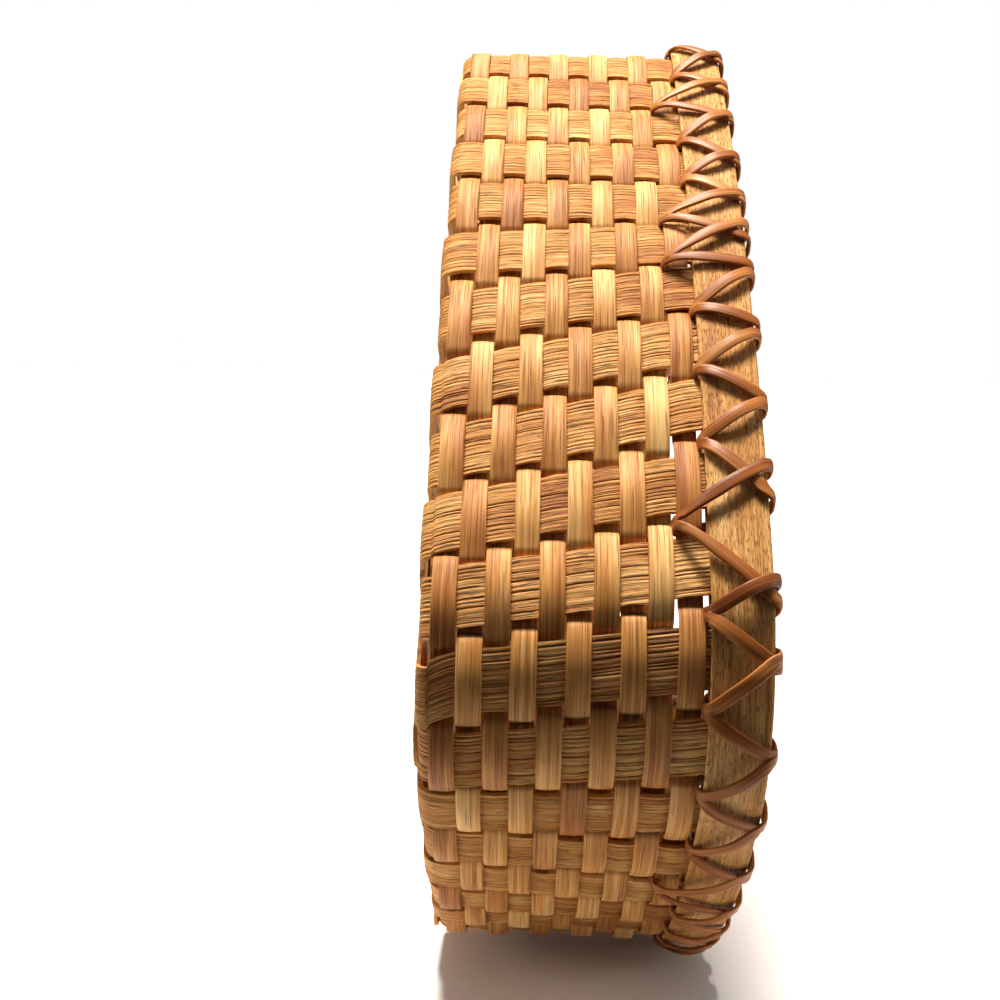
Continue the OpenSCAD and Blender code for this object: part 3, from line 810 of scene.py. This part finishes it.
# White paper: dull, and clear when it is seen from behind
paper = bpy.data.materials.new("white_paper_floor")
paper.use_nodes = True
tree = paper.node_tree
tree.nodes.clear()
out = add(tree, "ShaderNodeOutputMaterial", {})
lit = add(tree, "ShaderNodeBsdfDiffuse", {"Color": srgb("#f2f2f2")})
clear = add(tree, "ShaderNodeBsdfTransparent", {})
behind = add(tree, "ShaderNodeNewGeometry", {}).outputs["Backfacing"]
sheet = add(tree, "ShaderNodeMixShader", {0: behind, 1: lit.outputs[0], 2: clear.outputs[0]})
tree.links.new(sheet.outputs[0], out.inputs["Surface"])
floor.data.materials.append(paper)

# Light: a soft white room, and one key from above and a little behind, as in the photograph
world = bpy.data.worlds.new("white_room")
bpy.context.scene.world = world
world.use_nodes = True
tree = world.node_tree
tree.nodes.clear()
out = add(tree, "ShaderNodeOutputWorld", {})
# Soft light comes from above and behind, and less from the camera's side
sky = add(tree, "ShaderNodeTexCoord", {}).outputs["Generated"]
facing = add(tree, "ShaderNodeVectorMath", {0: sky, 1: (-0.5, -0.86, 0.0)}, operation="DOT_PRODUCT")
soft = add(tree, "ShaderNodeMapRange", {"Value": facing.outputs["Value"], "From Min": -0.6, "From Max": 0.9,
                                        "To Min": 0.0, "To Max": 0.3})
room = add(tree, "ShaderNodeBackground", {"Color": srgb("#ffffff"), "Strength": soft.outputs[0]})
# The camera sees plain white
seen_room = add(tree, "ShaderNodeBackground", {"Color": srgb("#ffffff"), "Strength": 1.0})
ray = add(tree, "ShaderNodeLightPath", {})
seen = add(tree, "ShaderNodeMath", {0: ray.outputs["Is Camera Ray"], 1: ray.outputs["Is Transmission Ray"]},
           operation="MAXIMUM")
mix = add(tree, "ShaderNodeMixShader", {0: seen.outputs[0], 1: room.outputs[0], 2: seen_room.outputs[0]})
tree.links.new(mix.outputs[0], out.inputs["Surface"])


def placed(right, up, back, spot):
    """A matrix from three axes and a place."""
    return Matrix([[right[r], up[r], back[r], spot[r]] for r in range(3)] + [[0, 0, 0, 1]])


def lamp(kind, name, energy, spot, toward):
    """A lamp whose light comes from the way that toward points.

    Its energy is in watts, or for a sun in watts a square metre.
    """
    light = bpy.data.lights.new(name, kind)
    light.energy = energy
    light.color = srgb("#fff7ec")[:3]
    holder = bpy.data.objects.new(name, light)
    bpy.context.scene.collection.objects.link(holder)
    toward = np.array(toward) / np.linalg.norm(toward)
    side = np.cross([0.0, 0.0, 1.0], toward)
    side /= np.linalg.norm(side)
    holder.matrix_world = placed(side, np.cross(toward, side), toward, spot)
    holder.visible_camera = False
    return light


key = lamp("SUN", "key", 4.5, (0, 0, 0), (-0.13, -0.97, -0.05))
key.angle = math.radians(12)
softbox = lamp("AREA", "softbox", 3.6, (0.1, -0.55, -0.02), (0.0, -0.55, -0.06))
softbox.size = 0.16
# Two weak lamps along the basket's own height, so that its inside and its base don't go dark
for way, name in ((1, "inside_fill"), (-1, "base_fill")):
    fill = lamp("SUN", name, 0.7, (0, 0, 0), (0.0, -0.25, way))
    fill.angle = math.radians(25)


# Camera: fitted to the stakes and edges that show in the photograph
SENSOR_MM = 36
LENS_SHARE = 1.309
CAMERA_SPOT = (0.4734, -0.0510, 0.0291)
YAW, PITCH, ROLL = 0.0266, -0.1286, 0.0188


def turned(yaw, pitch, roll):
    cy, sy = math.cos(yaw), math.sin(yaw)
    cp, sp = math.cos(pitch), math.sin(pitch)
    cr, sr = math.cos(roll), math.sin(roll)
    a = np.array([[cy, 0, sy], [0, 1, 0], [-sy, 0, cy]])
    b = np.array([[1, 0, 0], [0, cp, -sp], [0, sp, cp]])
    c = np.array([[cr, -sr, 0], [sr, cr, 0], [0, 0, 1]])
    return a @ b @ c


camera = bpy.data.cameras.new("camera")
camera.sensor_width = SENSOR_MM
camera.lens = LENS_SHARE * SENSOR_MM
camera.clip_start = 0.01
camera_object = bpy.data.objects.new("camera", camera)
bpy.context.scene.collection.objects.link(camera_object)
axes = turned(YAW, PITCH, ROLL)
# Photo right, up and toward the viewer are +Z, -Y and +X
axes = np.array([axes[2], -axes[1], axes[0]])
camera_object.matrix_world = placed(axes[:, 0], axes[:, 1], axes[:, 2], CAMERA_SPOT)
bpy.context.scene.camera = camera_object

bpy.context.scene.view_settings.view_transform = "Standard"

bpy.ops.object.select_all(action="DESELECT")
